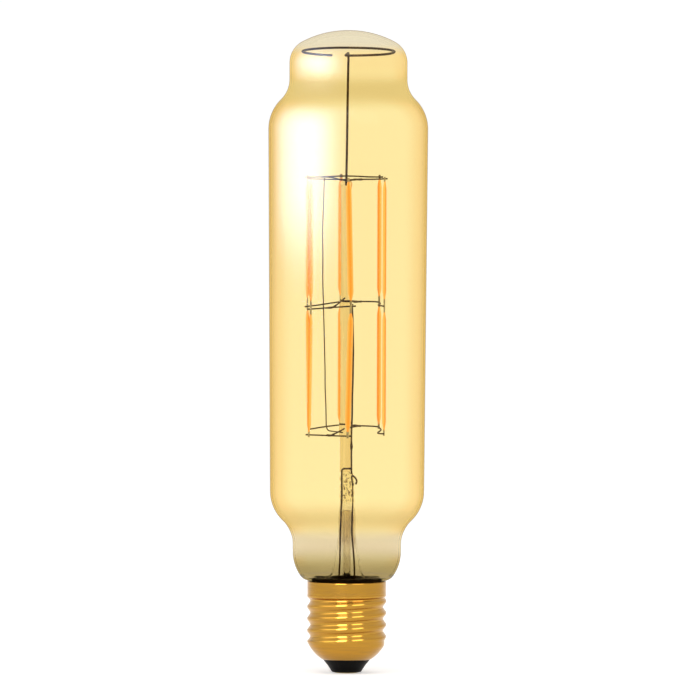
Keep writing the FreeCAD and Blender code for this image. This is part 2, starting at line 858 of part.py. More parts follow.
def build():
    """Every piece of the bulb by name."""
    parts = {
        "glass_envelope": glass_envelope(),
        "exhaust_tube": exhaust_tube(),
        "lead_wire_left": lead_wire_left(),
        "lead_wire_right": lead_wire_right(),
        "feed_wire": feed_wire(),
        "riser_wire": riser_wire_solid(),
        "dome_ring_wire": dome_ring_wire(),
        "screw_shell": screw_shell(),
        "insulator": insulator(),
        "centre_contact": centre_contact(),
        "contact_solder": contact_solder(),
        "cap_cement": cap_cement(),
        "driver_board": driver_board(),
        "smoothing_capacitor": smoothing_capacitor(),
        "choke": choke(),
        "bridge_rectifier": surface_chip(-1),
        "driver_chip": surface_chip(1),
        "fuse_resistor": fuse_resistor(),
        "contact_wire": contact_wire(),
        "shell_wire": shell_wire(),
    }
    parts.update(bars())
    parts.update(anchors())
    for tier in ("upper", "lower"):
        for name in column_names:
            parts["filament_" + tier + "_" + name] = filament(tier, name)
        parts["filament_tabs_" + tier] = filament_tabs(tier)

    leads = [parts["lead_wire_left"], parts["lead_wire_right"]]
    parts["stem_flare"] = stem_flare().cut(leads)
    melted_in = [parts[name] for name in parts if "_anchor_" in name]
    melted_in += [parts["riser_wire"], parts["dome_ring_wire"]]
    parts["centre_rod"] = centre_rod().cut(melted_in)
    return parts


os.makedirs("parts", exist_ok=True)
for name, shape in build().items():
    shape.exportStep("parts/" + name + ".step")
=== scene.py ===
"""Looks of the tubular filament bulb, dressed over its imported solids.

Shapes are worked out in millimetres and scaled to metres when a mesh is made.
Front is -Y and right is +X. The origin is the centre of the contact's face.
"""
import math

import bmesh
import bpy
from mathutils import Matrix, Vector, noise

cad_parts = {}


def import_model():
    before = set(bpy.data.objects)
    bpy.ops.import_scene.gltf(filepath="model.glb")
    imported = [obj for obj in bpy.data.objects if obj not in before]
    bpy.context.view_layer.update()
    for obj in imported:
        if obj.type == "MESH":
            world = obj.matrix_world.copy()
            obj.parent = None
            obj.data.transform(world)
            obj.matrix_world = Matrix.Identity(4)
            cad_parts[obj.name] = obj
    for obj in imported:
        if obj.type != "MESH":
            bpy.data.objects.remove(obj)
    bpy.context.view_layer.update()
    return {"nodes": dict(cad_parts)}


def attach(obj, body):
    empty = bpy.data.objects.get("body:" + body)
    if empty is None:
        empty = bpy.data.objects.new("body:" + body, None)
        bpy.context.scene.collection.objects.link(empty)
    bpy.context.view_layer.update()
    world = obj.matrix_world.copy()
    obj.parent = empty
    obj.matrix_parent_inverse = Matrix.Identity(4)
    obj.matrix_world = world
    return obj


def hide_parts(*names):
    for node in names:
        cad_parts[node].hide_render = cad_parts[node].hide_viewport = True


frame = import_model()

MM = 0.001

# glass envelope: outer radii, heights above the contact's face
glass_top = 212.7
glass_wall = 0.8
crown_radius = 33.0
dome_radius = 19.5
dome_corner = 8.0
upper_shoulder_z = 180.0
upper_shoulder_outer = 13.7
upper_shoulder_inner = 9.3
body_radius_top = 26.4
body_radius_bottom = 25.5
lower_shoulder_z = 60.2
lower_shoulder_outer = 13.5
lower_shoulder_inner = 11.1
waist_radius = 17.9
foot_start_z = 40.2
foot_large_bend = 14.0
foot_large_turn = 35.0
foot_small_bend = 3.7
neck_radius = 12.35
neck_end_z = 29.6
envelope_foot_z = 30.6

# screw cap
thread_major = 26.3
thread_pitch = 3.92
thread_depth = 1.0
thread_foot_z = 10.4
thread_top_z = 25.2
crest_z = 15.98
sheet = 0.3
cap_rim_z = 30.4
cap_foot_z = 4.5
cap_foot_radius = 8.1
cap_shoulder_radius = 10.9
cap_shoulder_z = 6.9
skirt_radius = 13.05
cement_foot_z = 26.0
cement_hole_radius = 3.3
cement_thickness = 1.4
seal_z = 30.9
cement_top_z = 31.45

# stem
rod_x = -0.6
rod_radius = 1.75
rod_top_z = 163.4
flare_wall = 0.5
flare_tube_radius = 2.8
flare_tube_z = 46.0
flare_foot_radius = 4.8
trumpet_bend = 3.0
pinch_bottom_z = 54.0
pinch_top_z = 66.6
pinch_half_width = 2.3
pinch_half_depth = 1.65
exhaust_radius = 1.35
exhaust_wall = 0.4
exhaust_tip_z = 14.0

# wires
lead_wire = 0.6
riser_wire = 0.4
bar_wire = 0.5
ring_wire = 0.8
anchor_wire = 0.5
weld_gap = 0.02

# driver board, to which the lead wires run
board_y = 3.4
board_thickness = 1.0
board_foot_z = 9.2
board_height = 12.5
lead_foot_x = 2.55
pinch_lead_x = 1.8

# filament cage: two tiers of six columns
column_names = ["front", "front_right", "rear_right", "rear", "rear_left", "front_left"]
cage_radius = 13.8
cage_turn = 7.0
filament_length = 39.2
filament_shift = {"upper": 0.7, "lower": -0.4}
filament_width = 1.9
filament_thickness = 1.0
tab_width = 0.8
tab_thickness = 0.25
tab_overrun = 0.7
tab_root = 0.5
end_taper = 3.2
end_thinness = 0.38
tip_length = 1.8
bottom_tip = 1.4
bottom_rear_tip = 0.6
kinked_tip = 0.9
bar_bend = 1.6

# levels of the current bars: height at the rod's axis and rise from front to back
level_height = {"top": 163.8, "middle": 121.9, "bottom": 80.3}
level_rise = {"top": 0.0, "middle": 0.022, "bottom": 0.084}

# how far the hand-made cage strays at each level: turn of a column in degrees, lift of a bar
column_sway = {
    "top": {"front": -4.0, "front_left": -3.5},
    "middle": {"front_left": -4.0},
    "bottom": {"front": -4.0, "front_left": -8.0, "rear_left": -6.0},
}
column_lift = {
    "top": {},
    "middle": {"front": 0.4, "front_left": -0.9, "rear_left": -0.9, "rear_right": 0.3},
    "bottom": {"front_left": -0.6, "rear_left": -0.5, "front_right": -0.35},
}

# kinks of a rear bar before its last column: turn in degrees, distance from the rod, lift
rear_kinks = {
    "middle": [(21.0, 12.3, 0.1), (-12.4, 10.8, 0.0)],
    "bottom": [(9.5, 12.1, -0.2), (-12.4, 10.5, -0.7)],
}

# lead, feed and riser wires
lead_entry_rise = 3.5
feed_x = 1.45
feed_bow = 0.5
feed_bow_share = 0.72
riser_x = -7.8
riser_foot_x = -6.9

# ring wire in the dome
ring_z = 205.6
ring_radius = 15.2
ring_rise = 0.046
ring_start_turn = -111.0
ring_end_turn = -442.0


class Socket:
    """Output of a node, with which sums can be written."""

    def __init__(self, finish, output):
        self.finish = finish
        self.output = output

    def joined(self, operation, first, second):
        return self.finish.node("ShaderNodeMath", {"operation": operation}, {0: first, 1: second})

    def __add__(self, other):
        return self.joined("ADD", self, other)

    __radd__ = __add__

    def __mul__(self, other):
        return self.joined("MULTIPLY", self, other)

    __rmul__ = __mul__

    def __sub__(self, other):
        return self.joined("SUBTRACT", self, other)

    def __rsub__(self, other):
        return self.joined("SUBTRACT", other, self)

    def __truediv__(self, other):
        return self.joined("DIVIDE", self, other)

    def __pow__(self, other):
        return self.joined("POWER", self, other)

    def wave(self):
        return self.joined("SINE", self, 0.0)

    def largest(self, other):
        return self.joined("MAXIMUM", self, other)


class Finish:
    """Node tree of one material or of the world."""

    def __init__(self, owner):
        self.owner = owner
        owner.use_nodes = True
        self.tree = owner.node_tree
        self.tree.nodes.clear()

    def feed(self, socket, value):
        if isinstance(value, Socket):
            self.tree.links.new(value.output, socket)
        else:
            socket.default_value = value

    def node(self, kind, settings=None, values=None, output=0):
        """New node, its settings made first and its sockets fed after."""
        made = self.tree.nodes.new(kind)
        for name, value in (settings or {}).items():
            setattr(made, name, value)
        for name, value in (values or {}).items():
            self.feed(made.inputs[name], value)
        return Socket(self, made.outputs[output])

    def blend(self, share, first, second):
        """Colour mixed from two colours."""
        values = {0: share, 6: opaque(first), 7: opaque(second)}
        return self.node("ShaderNodeMix", {"data_type": "RGBA"}, values, 2)

    def part(self, axis):
        """Coordinate in millimetres along an axis of the part."""
        place = self.node("ShaderNodeTexCoord", output=3)
        split = {"X": 0, "Y": 1, "Z": 2}[axis]
        return self.node("ShaderNodeSeparateXYZ", values={0: place}, output=split) * 1000.0

    def azimuth(self):
        """Angle round the part in degrees, 0 at the front and positive to the right."""
        values = {0: self.part("X"), 1: self.part("Y") * -1.0}
        return self.node("ShaderNodeMath", {"operation": "ARCTAN2"}, values) * (180 / math.pi)

    def noise(self, scale, detail=2.0, stretch=(1.0, 1.0, 1.0)):
        """Noise over the part, scale in features a metre."""
        place = self.node("ShaderNodeTexCoord", output=3)
        place = self.node("ShaderNodeVectorMath", {"operation": "MULTIPLY"}, {0: place, 1: stretch})
        return self.node("ShaderNodeTexNoise", values={"Vector": place, "Scale": scale, "Detail": detail})

    def between(self, value, low, high):
        """Share from 0 at low to 1 at high, eased."""
        settings = {"interpolation_type": "SMOOTHSTEP"}
        values = {"Value": value, "From Min": low, "From Max": high}
        return self.node("ShaderNodeMapRange", settings, values)

    def bump(self, height, strength, distance):
        values = {"Height": height, "Strength": strength, "Distance": distance}
        return self.node("ShaderNodeBump", values=values)

    def principled(self, **values):
        """Principled shader, its sockets named with underscores."""
        named = {}
        for name, value in values.items():
            named[name.replace("_", " ")] = opaque(value) if "Color" in name else value
        return self.node("ShaderNodeBsdfPrincipled", values=named)

    def close(self, shader):
        self.node_out("ShaderNodeOutputMaterial", shader)
        return self.owner

    def node_out(self, kind, shader):
        made = self.tree.nodes.new(kind)
        self.tree.links.new(shader.output, made.inputs["Surface"])


def opaque(colour):
    """Colour with its alpha, or a socket as it is."""
    if isinstance(colour, Socket) or len(colour) == 4:
        return colour
    return (*colour, 1.0)


def finish(name):
    return Finish(bpy.data.materials.new(name))


def lit_through(make, glass, tint):
    """Glass that lets the lamps' light through to what is behind it."""
    shadow = make.node("ShaderNodeLightPath", output=1)
    clear = make.node("ShaderNodeBsdfTransparent", values={"Color": opaque(tint)})
    return make.node("ShaderNodeMixShader", values={0: shadow, 1: glass, 2: clear})


def amber_glass():
    """Thin blown glass: pale amber, deeper at edges and shoulders, beige at the crown, olive at the neck,
    with a painted pale reflection band just above the neck and a painted dark outline at grazing angles.
    """
    make = finish("amber_glass")
    height = make.part("Z")
    outer = make.node("ShaderNodeAttribute", {"attribute_name": "outer"}, output=2)
    facing = make.node("ShaderNodeLayerWeight", values={"Blend": 0.5}, output=1)
    tint = make.blend(make.between(facing, 0.26, 0.56), (0.98, 0.80, 0.345), (0.95, 0.67, 0.235))
    tint = make.blend(make.between(facing, 0.5, 0.78), tint, (0.72, 0.47, 0.125))
    dome = make.between(height, 194.0, 201.0)
    tint = make.blend(dome * 0.6, tint, (0.94, 0.68, 0.25))
    waist = make.between(height, 186.0, 191.5) * (1 - make.between(height, 194.0, 199.5))
    tint = make.blend(waist, tint, (0.77, 0.57, 0.195))
    shoulder = make.between(height, 45.5, 50.0) * (1 - make.between(height, 50.5, 57.0))
    tint = make.blend(shoulder * 0.8, tint, (0.72, 0.50, 0.16))
    # painted reflection: a pale band just above the neck, standing in for a reflection of the surroundings
    pale = make.between(height, 36.0, 40.0) * (1 - make.between(height, 44.5, 48.5))
    tint = make.blend(pale, tint, (0.74, 0.60, 0.35))
    olive = 1 - make.between(height, 34.0, 42.5)
    tint = make.blend(olive, tint, (0.36, 0.27, 0.105))
    crown = make.between(height, 204.0, 208.5)
    tint = make.blend(crown, tint, (0.80, 0.71, 0.50))
    # painted shade: a thin dark outline at grazing angles, standing in for the dark surroundings that the
    # glass's rim refracts and mirrors
    tint = make.blend(make.between(facing, 0.80, 0.92), tint, (0.30, 0.235, 0.155))
    tint = make.blend(outer, (1.0, 1.0, 1.0), tint)
    rubbed = make.between(height, 186.0, 191.0) * (1 - make.between(height, 195.5, 203.0))
    gloss = (1 - make.between(facing, 0.45, 0.85)) * (1 - rubbed * 0.9) * outer * 0.45
    gloss = gloss * make.between(height, 36.0, 44.0)
    glass = make.principled(
        Base_Color=tint, Roughness=0.0, IOR=1.01, Transmission_Weight=1.0,
        Coat_Weight=gloss, Coat_Roughness=0.14, Coat_IOR=1.5)
    return make.close(lit_through(make, glass, (0.98, 0.9, 0.68)))


def flare_glass():
    """Clear drawn glass of the trumpet, streaked above and crinkled where the jaws squeezed it."""
    make = finish("flare_glass")
    height = make.part("Z")
    streaks = make.noise(1300.0, 3.0, (1.0, 1.0, 0.05))
    drawn = make.blend(make.between(streaks, 0.35, 0.65), (0.93, 0.90, 0.82), (0.74, 0.67, 0.56))
    clear = make.blend(make.between(height, 40.0, 45.0), (0.985, 0.98, 0.96), drawn)
    wrinkles = make.noise(1500.0, 3.0, (1.0, 1.0, 0.55))
    marks = make.between(wrinkles, 0.54, 0.62)
    squeezed = make.blend(marks, (0.88, 0.79, 0.56), (0.12, 0.07, 0.03))
    tint = make.blend(make.between(height, 55.5, 57.5), clear, squeezed)
    bump = make.bump(wrinkles, 0.4, 0.0004)
    glass = make.principled(
        Base_Color=tint, Roughness=0.05, IOR=1.02, Transmission_Weight=1.0, Normal=bump)
    return make.close(lit_through(make, glass, (0.92, 0.86, 0.72)))


def exhaust_glass():
    """Cloudy beige tube with faint lines where it was drawn."""
    make = finish("exhaust_glass")
    streaks = make.noise(1500.0, 3.0, (1.0, 1.0, 0.04))
    tint = make.blend(make.between(streaks, 0.3, 0.7), (0.94, 0.92, 0.88), (0.80, 0.77, 0.70))
    glass = make.principled(
        Base_Color=tint, Roughness=0.1, IOR=1.04, Transmission_Weight=1.0)
    return make.close(lit_through(make, glass, (0.92, 0.86, 0.72)))


def rod_glass():
    """Solid rod with a tan cast and a few lines along it."""
    make = finish("rod_glass")
    streaks = make.noise(900.0, 3.0, (1.0, 1.0, 0.05))
    facing = make.node("ShaderNodeLayerWeight", values={"Blend": 0.5}, output=1)
    tint = make.blend(make.between(streaks, 0.35, 0.65), (0.90, 0.78, 0.56), (0.80, 0.66, 0.42))
    tint = make.blend(make.between(facing, 0.5, 0.9), tint, (0.66, 0.48, 0.24))
    bump = make.bump(streaks, 0.2, 0.0003)
    glass = make.principled(
        Base_Color=tint, Roughness=0.04, IOR=1.06, Transmission_Weight=1.0, Normal=bump)
    return make.close(lit_through(make, glass, (0.92, 0.86, 0.72)))


def filament_coat():
    """Silicone coat, orange on its flat faces and paler at its edges."""
    make = finish("filament_coat")
    edge = make.node("ShaderNodeAttribute", {"attribute_name": "edge"}, output=2)
    chips = (make.part("Z") * (2 * math.pi / 1.3)).wave() * 0.5 + 0.5
    mottle = make.noise(700.0)
    face = make.blend(chips * 0.35, (0.96, 0.29, 0.012), (0.93, 0.23, 0.008))
    face = make.blend(mottle * 0.3, face, (0.98, 0.36, 0.03))
    shade = make.blend(edge, face, (0.92, 0.56, 0.2))
    bump = make.bump(mottle, 0.15, 0.0001)
    coat = make.principled(Base_Color=shade, Roughness=0.45, Normal=bump, Specular_IOR_Level=0.2)
    return make.close(coat)


def metal(name, colour, tarnish, roughness, scale=600.0):
    """Metal with faint tarnish and drawn or rolled marks."""
    make = finish(name)
    marks = make.noise(scale, 4.0)
    shade = make.blend(make.between(marks, 0.35, 0.75), colour, tarnish)
    rough = marks * 0.15 + (roughness - 0.07)
    bump = make.bump(marks, 0.08, 0.0001)
    return make.close(make.principled(Base_Color=shade, Metallic=1.0, Roughness=rough, Normal=bump))


def dark_wire():
    """Nickel-iron wire, oxidised to a dark brown."""
    make = finish("wire_metal")
    marks = make.noise(700.0, 3.0)
    shade = make.blend(make.between(marks, 0.35, 0.7), (0.08, 0.048, 0.014), (0.028, 0.016, 0.006))
    bump = make.bump(marks, 0.1, 0.0001)
    return make.close(make.principled(
        Base_Color=shade, Metallic=0.4, Roughness=marks * 0.2 + 0.4, Normal=bump, Specular_IOR_Level=0.15))


def cap_brass():
    """Rolled gold-coloured sheet with faint marks round the cap."""
    make = finish("cap_brass")
    rolled = make.noise(260.0, 3.0, (0.5, 0.5, 6.0))
    spots = make.noise(1500.0, 2.0)
    shade = make.blend(make.between(rolled, 0.3, 0.7), (0.51, 0.265, 0.036), (0.455, 0.235, 0.04))
    shade = make.blend(make.between(spots, 0.68, 0.78) * 0.25, shade, (0.36, 0.18, 0.03))
    rough = rolled * 0.08 + 0.09
    bump = make.bump(rolled, 0.06, 0.0001)
    return make.close(make.principled(Base_Color=shade, Metallic=1.0, Roughness=rough, Normal=bump))


def moulded(name, colour, second, roughness, scale=900.0, grain=0.1, specular=0.5):
    """Moulded or coated surface with a fine grain."""
    make = finish(name)
    mottle = make.noise(scale, 3.0)
    shade = make.blend(mottle, colour, second)
    bump = make.bump(mottle, grain, 0.0001)
    rough = mottle * 0.12 + (roughness - 0.06)
    return make.close(make.principled(
        Base_Color=shade, Roughness=rough, Normal=bump, Specular_IOR_Level=specular))


def point(radius, height):
    """Point of a turned profile."""
    return Vector((radius, height))


def polar(centre, radius, angle):
    turn = math.radians(angle)
    return centre + Vector((radius * math.cos(turn), radius * math.sin(turn)))


def arc(centre, radius, start, end, step=3.0):
    """Points along an arc of a profile, both ends included."""
    count = max(2, math.ceil(abs(end - start) / step))
    return [polar(centre, radius, start + (end - start) * share / count) for share in range(count + 1)]


def rings_of(profile, sides):
    """Rings of a turned shape; a point on the axis stays one point."""
    rings = []
    for radius, height in profile:
        if radius < 1e-6:
            rings.append([Vector((0, 0, height))])
            continue
        ring = []
        for side in range(sides):
            turn = 2 * math.pi * side / sides
            ring.append(Vector((radius * math.cos(turn), radius * math.sin(turn), height)))
        rings.append(ring)
    return rings


def skin(body, rings, closed=False):
    """Faces between rings of points, added to a mesh under way."""
    made = [[body.verts.new(place * MM) for place in ring] for ring in rings]
    pairs = list(zip(made, made[1:]))
    if closed:
        pairs.append((made[-1], made[0]))
    for lower, upper in pairs:
        sides = max(len(lower), len(upper))
        for side in range(sides):
            near = (side + 1) % sides
            if len(lower) == 1:
                body.faces.new((lower[0], upper[near], upper[side]))
            elif len(upper) == 1:
                body.faces.new((lower[side], lower[near], upper[0]))
            else:
                body.faces.new((lower[side], lower[near], upper[near], upper[side]))
    return made


def linked(name, data):
    """Object of the scene with the given mesh, camera or lamp."""
    made = bpy.data.objects.new(name, data)
    bpy.context.scene.collection.objects.link(made)
    return made


def made_solid(name, body, material):
    """Object from a mesh under way."""
    mesh = bpy.data.meshes.new(name)
    body.to_mesh(mesh)
    body.free()
    mesh.materials.append(material)
    return linked(name, mesh)


def piece(name, body, material, slot, *nodes):
    """Object from a mesh under way, dressed over its nodes."""
    bmesh.ops.recalc_face_normals(body, faces=body.faces)
    made = made_solid(name, body, material)
    made.data.shade_smooth()
    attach(made, "root")
    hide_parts(*nodes)
    return made


def turned(name, profile, material, slot, node, sides=96, closed=False):
    body = bmesh.new()
    skin(body, rings_of(profile, sides), closed)
    return piece(name, body, material, slot, node)


def rounded(points, bend, samples=7):
    """Route along straight runs with an eased bend at each corner."""
    route = [points[0]]
    for before, corner, after in zip(points, points[1:], points[2:]):
        back = before - corner
        onward = after - corner
        reach = min(bend, 0.48 * back.length, 0.48 * onward.length)
        enter = corner + back.normalized() * reach
        leave = corner + onward.normalized() * reach
        for sample in range(samples + 1):
            share = sample / samples
            route.append(enter.lerp(corner, share).lerp(corner.lerp(leave, share), share))
    route.append(points[-1])
    return route


def spaced(route, gap):
    """Route cut into short even steps."""
    places = [route[0]]
    for start, end in zip(route, route[1:]):
        count = max(1, round((end - start).length / gap))
        for step in range(1, count + 1):
            places.append(start.lerp(end, step / count))
    return places[:1] + [place for before, place in zip(places, places[1:]) if (place - before).length > 1e-4]


def uneven(route, amount, size=9.0):
    """Route with the slight waves of wire bent by hand; its ends stay in place."""
    total = len(route) - 1
    places = []
    for index, place in enumerate(route):
        hold = min(1.0, 6 * index / total, 6 * (total - index) / total)
        # noise_vector takes its offsets from the clock, so these waves differ a little in each run
        shift = noise.noise_vector(place / size) * amount * hold
        places.append(place + shift)
    return places


def tube(body, route, radius, sides=12, swells=()):
    """Round wire along a route. Swells are (share of the length, gain, spread in mm)."""
    lengths = [0.0]
    for start, end in zip(route, route[1:]):
        lengths.append(lengths[-1] + (end - start).length)
    tangents = []
    for index in range(len(route)):
        before = route[max(0, index - 1)]
        after = route[min(len(route) - 1, index + 1)]
        tangents.append((after - before).normalized())
    across = tangents[0].orthogonal().normalized()
    rings = []
    for place, tangent, length in zip(route, tangents, lengths):
        across = (across - tangent * across.dot(tangent)).normalized()
        second = tangent.cross(across)
        gain = 1.0
        for share, extra, spread in swells:
            gain += extra * math.exp(-(((length - share * lengths[-1]) / spread) ** 2))
        ring = []
        for side in range(sides):
            turn = 2 * math.pi * side / sides
            spoke = across * math.cos(turn) + second * math.sin(turn)
            ring.append(place + spoke * radius * gain)
        rings.append(ring)
    first = shrunk(rings[0], 0.6, tangents[0] * -0.25 * radius)
    last = shrunk(rings[-1], 0.6, tangents[-1] * 0.25 * radius)
    ends = [[middle_of(first)], first], [last, [middle_of(last)]]
    skin(body, ends[0] + rings + ends[1])


def middle_of(ring):
    return sum(ring, Vector()) / len(ring)


def shrunk(ring, share, shift):
    centre = middle_of(ring)
    return [centre + (place - centre) * share + shift for place in ring]


def shoulder_turn(drop, outer_bend, inner_bend):
    """Angle through which two opposite bends turn to join walls that are drop apart."""
    return math.degrees(math.acos(1 - drop / (outer_bend + inner_bend)))


def envelope_profile(inset):
    """Envelope's profile from its crown to its neck, drawn inset from the outer surface."""
    crown = point(0, glass_top - crown_radius)
    corner_r = dome_radius - dome_corner
    corner_rise = math.sqrt((crown_radius - dome_corner) ** 2 - corner_r ** 2)
    corner = crown + point(corner_r, corner_rise)
    crown_turn = math.degrees(math.atan2(corner_rise, corner_r))
    upper = shoulder_turn(body_radius_top - dome_radius, upper_shoulder_outer, upper_shoulder_inner)
    upper_height = (upper_shoulder_outer + upper_shoulder_inner) * math.sin(math.radians(upper))
    upper_out = point(body_radius_top - upper_shoulder_outer, upper_shoulder_z)
    upper_in = point(dome_radius + upper_shoulder_inner, upper_shoulder_z + upper_height)
    lower = shoulder_turn(body_radius_bottom - waist_radius, lower_shoulder_outer, lower_shoulder_inner)
    lower_height = (lower_shoulder_outer + lower_shoulder_inner) * math.sin(math.radians(lower))
    lower_out = point(body_radius_bottom - lower_shoulder_outer, lower_shoulder_z)
    lower_in = point(waist_radius + lower_shoulder_inner, lower_shoulder_z - lower_height)
    foot = point(waist_radius - foot_large_bend, foot_start_z)
    toe = polar(foot, foot_large_bend - foot_small_bend, -foot_large_turn)
    toe.y = envelope_foot_z + foot_small_bend
    profile = arc(crown, crown_radius - inset, 90, crown_turn)
    profile += arc(corner, dome_corner - inset, crown_turn, 0)
    profile += arc(upper_in, upper_shoulder_inner + inset, 180, 180 + upper)
    profile += arc(upper_out, upper_shoulder_outer - inset, upper, 0)
    profile += arc(lower_out, lower_shoulder_outer - inset, 0, -lower)
    profile += arc(lower_in, lower_shoulder_inner + inset, 180 - lower, 180)
    profile += arc(foot, foot_large_bend - inset, 0, -foot_large_turn)
    profile += arc(toe, foot_small_bend - inset, -foot_large_turn, -90, 9.0)
    profile.append(point(neck_radius - inset, envelope_foot_z + inset))
    profile.append(point(neck_radius - inset, neck_end_z))
    profile[0].x = 0
    return apart(profile)


def apart(profile):
    """Profile without points that fall together."""
    kept = [profile[0]]
    for place in profile[1:]:
        if (place - kept[-1]).length > 1e-3:
            kept.append(place)
    return kept


def glass_envelope(material):
    """Blown envelope. Its outer face is marked, because the tint is given to that face alone."""
    outer = envelope_profile(0.0)
    inner = envelope_profile(glass_wall)[::-1]
    body = bmesh.new()
    mark = body.verts.layers.float.new("outer")
    made = skin(body, rings_of(outer + inner, 160))
    for ring in made[:len(outer)]:
        for corner in ring:
            corner[mark] = 1.0
    return piece("glass_envelope_blown", body, material, "amber_glass", "glass_envelope")


def screw_shell(material):
    """Rolled shell: a right-hand thread in thin sheet between a drawn foot and a straight skirt."""
    foot_start = point(cap_foot_radius, cap_foot_z)
    foot_middle = point(cap_shoulder_radius, cap_shoulder_z)
    foot_end = point(thread_major / 2, thread_foot_z)
    centre, radius = circle_through(foot_start, foot_middle, foot_end)
    start_turn = math.degrees(math.atan2(foot_start.y - centre.y, foot_start.x - centre.x))
    end_turn = math.degrees(math.atan2(foot_end.y - centre.y, foot_end.x - centre.x))
    outline = arc(centre, radius, start_turn, end_turn, 2.0)
    rows = 96
    for row in range(1, rows + 1):
        outline.append(point(thread_major / 2, thread_foot_z + (thread_top_z - thread_foot_z) * row / rows))
    for share in (0.25, 0.5, 0.75, 1.0):
        radius_here = thread_major / 2 + (skirt_radius - thread_major / 2) * share
        outline.append(point(radius_here, thread_top_z + share))
    outline.append(point(skirt_radius, cap_rim_z - 0.3))
    outline.append(point(skirt_radius - 0.03, cap_rim_z - 0.08))
    outline.append(point(skirt_radius - 0.12, cap_rim_z))
    sides = 160
    rings = []
    for inset, order in ((0.0, outline), (sheet, outline[::-1])):
        for radius_here, height in order:
            ring = []
            for side in range(sides):
                turn = 2 * math.pi * side / sides
                phase = 2 * math.pi * (height - crest_z) / thread_pitch - turn
                fade = eased(height, thread_foot_z - 1.6, thread_foot_z + 1.2) * (
                    1 - eased(height, thread_top_z - 0.6, thread_top_z + 0.5))
                root = fade * thread_depth * 0.5 * (1 - math.cos(phase))
                reach = radius_here - inset - root
                ring.append(Vector((reach * math.cos(turn), reach * math.sin(turn), height)))
            rings.append(ring)
    body = bmesh.new()
    skin(body, rings, closed=True)
    return piece("screw_shell_rolled", body, material, "cap_brass", "screw_shell")


def eased(value, low, high):
    """Share from 0 at low to 1 at high, eased."""
    share = min(1.0, max(0.0, (value - low) / (high - low)))
    return share * share * (3 - 2 * share)


def circle_through(first, second, third):
    """Centre and radius of the circle through three points of a profile."""
    ax, ay = second - first
    bx, by = third - first
    across = 2 * (ax * by - ay * bx)
    x = (by * (ax * ax + ay * ay) - ay * (bx * bx + by * by)) / across
    y = (ax * (bx * bx + by * by) - bx * (ax * ax + ay * ay)) / across
    offset = Vector((x, y))
    return first + offset, offset.length


def insulator(material):
    """Black moulding between the shell's foot and the contact."""
    profile = [
        point(3.95, 0.8),
        point(3.95, 0.36),
        point(4.1, 0.3),
        point(4.6, 0.3),
        point(4.85, 0.4),
        point(5.1, 0.7),
        point(5.35, 1.2),
        point(6.4, 2.75),
        point(7.6, 4.2),
        point(7.75, 4.5),
        point(7.75, 7.7),
        point(1.15, 7.7),
        point(1.15, 0.8),
    ]
    return turned("insulator_moulded", profile, material, "insulator_black", "insulator", 96, closed=True)


def cap_cement(material):
    """Dark cement between neck and skirt and under the neck's edge, a little rough on top."""
    neck_inside = neck_radius - glass_wall
    outer = skirt_radius - sheet - 0.01
    slab_foot_z = neck_end_z - cement_thickness
    outline = [
        (outer, cement_foot_z, 0),
        (outer, cap_rim_z - 0.2, 0.3),
        (neck_radius + 0.2, cap_rim_z - 0.1, 0.5),
        (neck_radius + 0.01, cap_rim_z - 0.15, 0.3),
        (neck_radius + 0.01, neck_end_z - 0.02, 0),
        (neck_inside - 0.01, neck_end_z - 0.02, 0),
        (neck_inside - 0.01, cement_top_z, 0.3),
        (cement_hole_radius, cement_top_z, 0.3),
        (cement_hole_radius, slab_foot_z, 0),
        (neck_inside, slab_foot_z, 0),
        (neck_radius, cement_foot_z, 0),
    ]
    rings = []
    for radius, height, rough in outline:
        ring = []
        for side in range(160):
            turn = 2 * math.pi * side / 160
            place = Vector((radius * math.cos(turn), radius * math.sin(turn), height))
            place.z += rough * (noise.noise(place * 0.9) - 0.5) * 0.35
            ring.append(place)
        rings.append(ring)
    body = bmesh.new()
    skin(body, rings, closed=True)
    return piece("cap_cement_filled", body, material, "cement", "cap_cement")


def stem_flare(material):
    """Trumpet, tube and squeezed pinch as one glass piece, hollow up to the pinch."""
    mouth = neck_radius - glass_wall
    bend = point(flare_foot_radius + trumpet_bend, seal_z + flare_wall + trumpet_bend)
    outside = arc(bend, trumpet_bend, 270, 180, 6.0)
    inside = arc(bend, trumpet_bend + flare_wall, 180, 270, 6.0)
    sides = 64
    trumpet = [point(mouth, seal_z + flare_wall)] + outside + [point(flare_tube_radius, flare_tube_z)]
    outer = rings_of(trumpet, sides)
    steps = 44
    for step in range(1, steps + 1):
        height = flare_tube_z + (pinch_top_z - flare_tube_z) * step / steps
        squeeze = eased(height, pinch_bottom_z - 2.5, pinch_bottom_z + 3.0)
        half_width = flare_tube_radius + (pinch_half_width - flare_tube_radius) * squeeze
        half_depth = flare_tube_radius + (pinch_half_depth - flare_tube_radius) * squeeze
        crown = 1 - 0.35 * eased(height, pinch_top_z - 1.8, pinch_top_z + 0.3)
        ring = []
        for side in range(sides):
            turn = 2 * math.pi * side / sides
            place = Vector((half_width * math.cos(turn), half_depth * math.sin(turn), height))
            crinkle = 0.16 * squeeze * noise.noise(Vector((place.x * 0.9, place.y * 0.9, height * 0.55)))
            fold = 0.10 * squeeze * math.sin(height * 2.1 + 1.7 * math.cos(turn))
            stretch = crown * (1 + (crinkle + fold) * 0.45)
            ring.append(Vector((place.x * stretch, place.y * stretch, height)))
        outer.append(ring)
    outer.append([Vector((0, 0, pinch_top_z + 0.05))])
    bore = flare_tube_radius - flare_wall
    hollow = [point(bore, flare_tube_z), point(bore, pinch_bottom_z - 2.0)]
    hollow += [point(bore * 0.7, pinch_bottom_z - 0.7), point(0, pinch_bottom_z)]
    inner = rings_of([point(mouth, seal_z)] + inside[::-1] + hollow, sides)
    body = bmesh.new()
    skin(body, outer[::-1] + inner)
    return piece("stem_flare_drawn", body, material, "stem_glass", "stem_flare")


